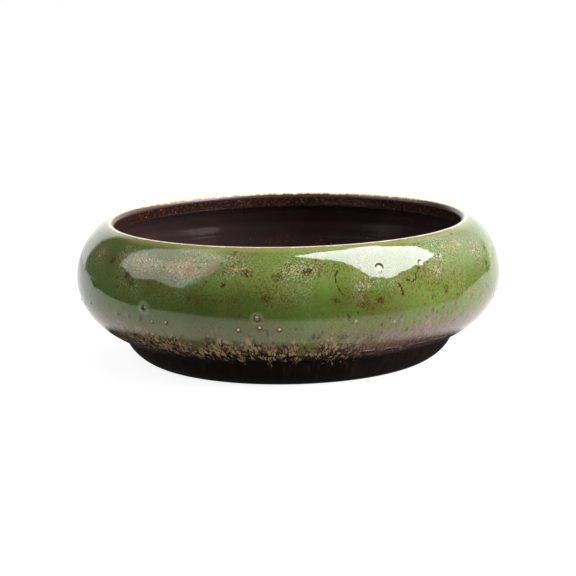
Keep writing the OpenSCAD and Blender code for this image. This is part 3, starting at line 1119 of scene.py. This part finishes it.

# %% [markdown]
# The outer glaze is one recipe for both outer coats, so that colours run across their seam.
# The green comes first. It is mottled, paler on the shoulder, sown with brown freckles, clouded with tiny
# cream crystals, and thins to yellow and then cream at the lip. Painted shade darkens the belly except on
# the right, painted light makes the right side that faces the big lamp paler, painted glints sparkle on the
# crystals, and the hazy patches are partly a painted reflection of the dim panel and the lit walls.


# %% Mix the green
def green_colour(mm, right, z):
    """Colour of the green, and how thick its crystals lie."""
    shoulder = z.step(36, 46)
    haze = mm.mark("haze")
    green = mm.noise(26, 2.0).ramp((0.3, 74, 98, 36), (0.5, 86, 118, 47), (0.7, 102, 132, 60))
    green = (mm.noise(1.3, 3.0, 0.65).step(0.3, 0.72) * 0.5).over(green, 74, 76, 31)
    stained = (mm.noise(11, 3.0, 0.6) + 0.12 * haze).step(0.38, 0.6)
    green = (stained * 0.3).over(green, 114, 96, 46)
    # Painted shade: the belly is darker, except on the right, where the big lamp falls.
    belly_shade = 1 - abs(z - 38.5).step(2.0, 8.0)
    green = (belly_shade * 0.35 * (1 - right.step(0.2, 0.6))).over(green, 60, 79, 25)
    # Painted light: the right side, which faces the big lamp, is made paler green.
    painted_lit_side = right.step(0.3, 0.6) * (1 - 0.6 * right.step(0.65, 0.9)) * z.step(30, 38)
    green = (painted_lit_side * 0.28).over(green, 132, 146, 80)
    front_top = z.step(41, 54) * (1 - abs(right).step(0.3, 0.8))
    green = (front_top * 0.3).over(green, 142, 152, 84)
    below = 1 - z.step(27, 35)
    green = (below * (0.4 + 0.15 * (0 - right).step(0.2, 0.7))).over(green, 132, 124, 64)
    # The veil is partly the glaze's crystal clouding and partly a painted reflection of the dim panel and
    # the lit walls.
    haze_veil_and_sheen = (haze + (mm.noise(2.6, 3.0, 0.7) - 0.5) * 1.1).step(0.3, 0.95)
    green = (haze_veil_and_sheen * 0.7).over(green, 174, 150, 98)

    sown = mm.mark("freckle")
    freckle = (mm.noise(0.75, 2.0, 0.6) + 0.04 * sown).step(0.52, 0.59)
    freckle = freckle * (0.35 + 0.35 * stained + 0.7 * sown).up_to_one()
    green = (freckle * 0.75).over(green, 78, 58, 22)
    green = (stained * mm.dots(1.7, 0.3, 0.6) * (0.4 + 0.4 * shoulder)).over(green, 66, 44, 16)
    hazy_and_sheeny = haze + 0.45 * mm.noise(16, 1.0).step(0.45, 0.65)
    crystal = hazy_and_sheeny.up_to_one() * mm.noise(0.6, 2.0, 0.7).step(0.53, 0.64) * shoulder
    green = (crystal * 0.62).over(green, 206, 206, 178)
    speck = mm.noise(0.8, 2.0, 0.65)
    among = hazy_and_sheeny.step(0.2, 0.7) * shoulder
    green = ((1 - speck.step(0.36, 0.44)) * among * 0.85).over(green, 56, 44, 22)
    # Painted glints: white sparkles on the crystals, stronger where the haze and its painted reflection lie.
    green = (speck.step(0.62, 0.68) * among * (0.55 + 0.3 * haze)).over(green, 224, 223, 200)
    blush = mm.mark("blush") * mm.noise(1.6, 2.0).step(0.3, 0.46)
    green = (blush * 0.95).over(green, 146, 90, 80)
    spot = mm.dots(5.5, 0.13, 0.6) * mm.noise(20, 1.0).step(0.40, 0.54)
    green = (spot * 0.7).over(green, 60, 36, 16)
    ragged_lip = z + (mm.noise(2.4, 2.0) - 0.5) * 0.6
    green = (ragged_lip.step(58.9, 60.5) * 0.5).over(green, 156, 148, 88)
    return ragged_lip.step(60.8, 60.95).over(green, 236, 219, 196), crystal


print("the green reads", len(stains_and_sheen), "painted stains")

# %% [markdown]
# Lower down the green breaks: it parts into shards, then into ochre flakes on brown, then black takes over.
# On the right the break is a mauve cloud with streaks instead. A value called fall runs it all:
# it is 0 on the ragged line where the break starts and 1 where the black is whole.
# The pattern lies on a flow, a stretched copy of the surface, and wanders so that no edge is straight.

# %% Break it into the dark
BREAK_Z = 22.9
BREAK_END_Z = 11.6
FLOW_R = 85
FLOW_RISE = 0.55
SHARD = 1.9
FLAKE = 1.0


def broken_colour(mm, right, back, z, green):
    """Colour of the whole coat: the green above, the break, and the black below."""
    flow = mm.vector(right * FLOW_R, back * FLOW_R, z * FLOW_RISE)
    wander = flow.shifted(flow.noise(4.5, 1.0, 0.5, 1), 3.6, 3.6, 2.4)
    wander = wander.shifted(flow.noise(1.0, 2.0, 0.6, 1), 1.5, 1.5, 1.1)
    streaks = mm.node("ShaderNodeVectorMath", {"operation": "MULTIPLY"}, {0: wander, 1: (1, 1, 0.27)})
    on_right = right.step(0.12, 0.5)
    on_left = (0 - right).step(0.6, 0.95)
    line = BREAK_Z + 7.2 * right.step(0.0, 0.72) + 5 * (0 - right).step(0.4, 0.95)
    line = line + 10 * (flow.noise(10, 2.0, 0.55) - 0.5) + 15 * (flow.noise(4.6, 1.0) - 0.5)
    fall = (line - z) / (line - BREAK_END_Z)

    rub = (flow.noise(0.6, 2.0, 0.6) - 0.5) * 0.3
    gap = (wander.cells(SHARD, "DISTANCE_TO_EDGE") + rub - 0.16 * fall).step(0.05, 0.14)
    pick, shade, lag = wander.cells(SHARD, "F1", 1).parts()
    kept = (pick - fall * fall * 0.95 + 0.12).step(-0.05, 0.05)
    seams = wander.cells(FLAKE, "DISTANCE_TO_EDGE") + rub
    flake_pick = wander.cells(FLAKE, "F1", 1).parts()[0]
    flake = seams.step(0.08, 0.22) * fall.step(0.05, 0.35)
    flake = flake * (flake_pick - 0.38 - 0.5 * fall * fall).step(-0.05, 0.05)
    bits = (gap * kept * (0.8 + 0.2 * seams.step(0.02, 0.1))).or_more(flake)
    bits = bits * (1 - 0.8 * on_right) * (1 - 0.5 * on_left)
    shard = shade.ramp((0.1, 184, 172, 112), (0.4, 208, 174, 122), (0.65, 222, 182, 138),
                       (0.85, 200, 150, 122), (1.0, 166, 142, 142))
    shard = (flow.noise(0.8, 2.0, 0.6).step(0.4, 0.7) * 0.4).over(shard, 98, 66, 40)
    shard = (fall.step(0.5, 1.1) * 0.5).over(shard, 58, 38, 24)
    shard = ((1 - fall.step(0.05, 0.45)) * 0.5).over(shard, 136, 132, 72)

    ground = fall.ramp((0.0, 92, 52, 40), (0.12, 68, 32, 21), (0.4, 50, 26, 17), (0.8, 22, 17, 16))
    mauve = fall.ramp((0.0, 98, 90, 74), (0.3, 114, 92, 86), (0.7, 88, 65, 62), (1.0, 24, 17, 16))
    cloud = flow.noise(5, 1.0).step(0.44, 0.56) * (1 - fall.step(0.25, 0.55)) + on_right + 0.35 * on_left
    ground = cloud.up_to_one().mix(ground, mauve)
    grain = streaks.noise(0.7, 3.0, 0.65)
    sides = (on_right + 0.4 * on_left) * (1 - fall.step(0.5, 0.85))
    ground = (grain.step(0.5, 0.64) * sides * 0.35).over(ground, 158, 130, 116)
    ground = ((1 - grain.step(0.34, 0.46)) * sides * 0.6).over(ground, 70, 50, 50)
    ground = (on_left * (1 - z.step(14, 22)) * 0.8).over(ground, 30, 22, 21)

    speckle = (lag - 0.5) * 0.22 + on_right * (mm.noise(2.2, 3.0, 0.6) - 0.5) * 1.5
    colour = (fall + speckle).step(-0.06, 0.16 + 0.2 * on_right).mix(green, bits.mix(ground, shard))
    fleck = streaks.noise(1.2, 2.0, 0.6).step(0.54, 0.64) * on_right
    fleck = fleck * fall.step(-0.4, 0.0) * (1 - fall.step(0.35, 0.7))
    colour = (fleck * 0.55).over(colour, 90, 64, 66)
    tick = (1 - wander.cells(2.6).step(0.16, 0.34)) * fall.step(-0.5, -0.1) * (1 - fall.step(0.05, 0.2))
    colour = (tick * 0.8).over(colour, 58, 38, 28)
    drip = streaks.noise(1.6, 2.0, 0.6).step(0.5, 0.66) * (1 - z.step(9.5, 12.5)) * z.step(1.0, 4.0)
    return (drip * 0.6).over(colour, 52, 40, 27)


print("the break runs from", BREAK_Z, "to", BREAK_END_Z, "mm in front")

# %% [markdown]
# Last come the faults, on top of both: rust knots, the blisters' pale rings and dark holes, and the veins.
# The blisters' rings, holes and cores also carry painted reflection, painted shade and painted highlights.
# Glaze is as smooth as glass, so its roughness is low. Crystals are a little rougher, and bare cores and
# holes are matt.


# %% Fire the outer glaze
def outer_glaze(name):
    """The finish of an outer coat."""
    finish, shader, mm = new_finish(name)
    right, back, z, _ = mm.on_wheel()
    green, crystal = green_colour(mm, right, z)
    colour = broken_colour(mm, right, back, z, green)
    scribble = 1 - abs(mm.noise(1.7, 2.0, 0.6) - 0.5).step(0.03, 0.08)
    clot = mm.noise(1.0, 3.0, 0.7).step(0.5, 0.58) * mm.mark("rust").step(0.4, 0.8)
    knot = mm.mark("rust").step(0.12, 0.45) * scribble.or_more(clot)
    colour = (knot * 0.9).over(colour, 66, 38, 12)
    # Pale rings: partly a painted reflection round the pits.
    colour = (mm.mark("ring") * 0.5).over(colour, 168, 170, 134)
    vein = (mm.mark("crack") + 1.8 * mm.noise(1.5, 2.0) - 1.5).step(0.0, 0.25)
    colour = (vein * 0.9).over(colour, 54, 30, 8)
    # Dark holes: partly painted shade on the blisters' lower sides and the craters' upper rims.
    colour = mm.mark("hole").over(colour, 54, 26, 17)
    # Pale cores: partly painted highlights and glints on the blisters.
    colour = mm.mark("core").over(colour, 226, 194, 180)
    rough = 0.05 + 0.06 * crystal + 0.55 * mm.mark("core") + 0.5 * mm.mark("hole")
    skin = mm.noise(0.9, 1.0) * 0.06 + mm.noise(3.2, 1.0)
    set_up(shader, Base_Color=colour, Roughness=rough, Normal=skin.bump(0.07, 0.0006))
    return finish


dress(green_coat, outer_glaze("green_glaze"))
dress(foot_coat, outer_glaze("dark_glaze"))
print("outer glaze:", len(green_coat.data.materials[0].node_tree.nodes), "nodes")

# %% [markdown]
# The liner is a chocolate glaze, nearly black. Rusty specks show where it is thin, on the band under the
# lip, and low on the wall.

# %% Mix the liner
finish, shader, mm = new_finish("liner_glaze")
z = mm.parts()[2]
band = (z + (mm.noise(5, 2.0) - 0.5) * 4).step(52.5, 56.0)
low = 1 - (z + (mm.noise(9, 2.0) - 0.5) * 8).step(34, 40)
dark = mm.noise(14, 2.0).ramp((0.35, 56, 45, 45), (0.65, 68, 50, 47))
dark = (band * 0.85).over(dark, 28, 17, 15)
rust = mm.noise(1.3, 2.0, 0.6).step(0.48, 0.68) * band
colour = (rust * 0.55).over(dark, 92, 48, 28)
speck = (1 - mm.cells(1.6).step(0.1, 0.34)) * mm.cells(1.6, "F1", 1).parts()[0]
speck = speck * (0.1 + 0.6 * band + 0.9 * low) * mm.noise(6, 2.0).step(0.4, 0.58)
colour = speck.over(colour, 164, 98, 48)
set_up(shader, Base_Color=colour, Roughness=0.09 + 0.1 * rust, Normal=mm.noise(2.2, 2.0).bump(0.15, 0.0006))
dress(liner_coat, finish)
print("liner:", len(finish.node_tree.nodes), "nodes")

# %% [markdown]
# Bare stoneware is buff and matt, with fine dark specks of iron and faint turning lines.
# On the lip a breath of glaze is left, so it is smoother and paler there. The liner climbs over the lip's
# inner half and ends in a ragged yellow edge. The outer edge of the foot is dark, from the glaze that soaked
# into it.


# %% Fire the clay
def clay(name, stained):
    """The finish of the foot ring where it is stained, or else of the bowl."""
    finish, shader, mm = new_finish(name)
    right, back, z, reach = mm.on_wheel()
    grit = mm.noise(0.8, 3.0, 0.7)
    buff = (mm.noise(18, 2.0) * 0.7 + grit * 0.3).ramp((0.35, 176, 146, 112), (0.65, 206, 178, 142))
    iron = (1 - mm.cells(2.8).step(0.08, 0.16)) * mm.noise(7, 1.0).step(0.45, 0.6)
    buff = (iron * 0.7).over(buff, 96, 62, 40)
    lines = mm.vector(reach, z, 0.0).noise(1.1, 2.0)
    if stained:
        soaked = (reach + (mm.noise(3, 2.0) - 0.5) * 2.0).step(58.2, 59.3)
        colour = soaked.over(buff, 34, 24, 20)
        rough = 0.85 - 0.5 * soaked
    else:
        bare = z.step(57.6, 58.8)
        cream = mm.noise(5, 2.0).ramp((0.35, 230, 212, 182), (0.65, 242, 230, 208))
        around = mm.vector(right * MOUTH_R, back * MOUTH_R, 0.0)
        sides = abs(right).step(0.72, 0.95)
        ragged = (around.noise(2.2, 3.0, 0.6) - 0.5) * 3.4 * (1 - 0.8 * sides)
        edge = reach + z - (lip_centre.x + lip_centre.y + 0.05) - 0.9 * sides - ragged
        colour = bare.mix(buff, cream)
        colour = (bare * (1 - edge.step(0.3, 0.7))).over(colour, 176, 140, 66)
        colour = (bare * (1 - edge.step(-0.4, 0.1))).over(colour, 60, 42, 38)
        rough = 0.85 - 0.55 * bare
    set_up(shader, Base_Color=colour, Roughness=rough, Normal=(grit * 0.6 + lines).bump(0.25, 0.0004))
    return finish


dress(clay_bowl, clay("stoneware", False))
dress(foot_ring, clay("stoneware_foot", True))
print("clay on", clay_bowl.name, "and", foot_ring.name)

# %% [markdown]
# The net is black plastic, a little greyer where it has been rubbed.

# %% Colour the net
finish, shader, mm = new_finish("black_plastic", 1.49)
rub = mm.noise(4, 3.0, 0.6)
colour = rub.ramp((0.4, 24, 26, 25), (0.7, 44, 46, 44))
set_up(shader, Base_Color=colour, Roughness=0.38 + 0.25 * rub, Normal=mm.noise(0.5, 2.0).bump(0.2, 0.0002))
dress(net, finish)
print("net finish:", finish.name)

# %% [markdown]
# Last, each piece is tied to the body of the frame that it moves with, and replaces its plain solid.

# %% Tie the pieces to the frame
ties = [(clay_bowl, "planter", "clay_bowl", "clay"), (foot_ring, "planter", "foot_ring", "clay"),
        (green_coat, "planter", "green_glaze", "green_glaze"),
        (foot_coat, "planter", "foot_glaze", "dark_glaze"),
        (liner_coat, "planter", "liner_glaze", "liner_glaze"), (net, "net", "drain_net", "net")]
for piece, body, node, slot in ties:
    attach(piece, body)
    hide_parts(node)
    print(piece.name, "rides on", body, "for", node)
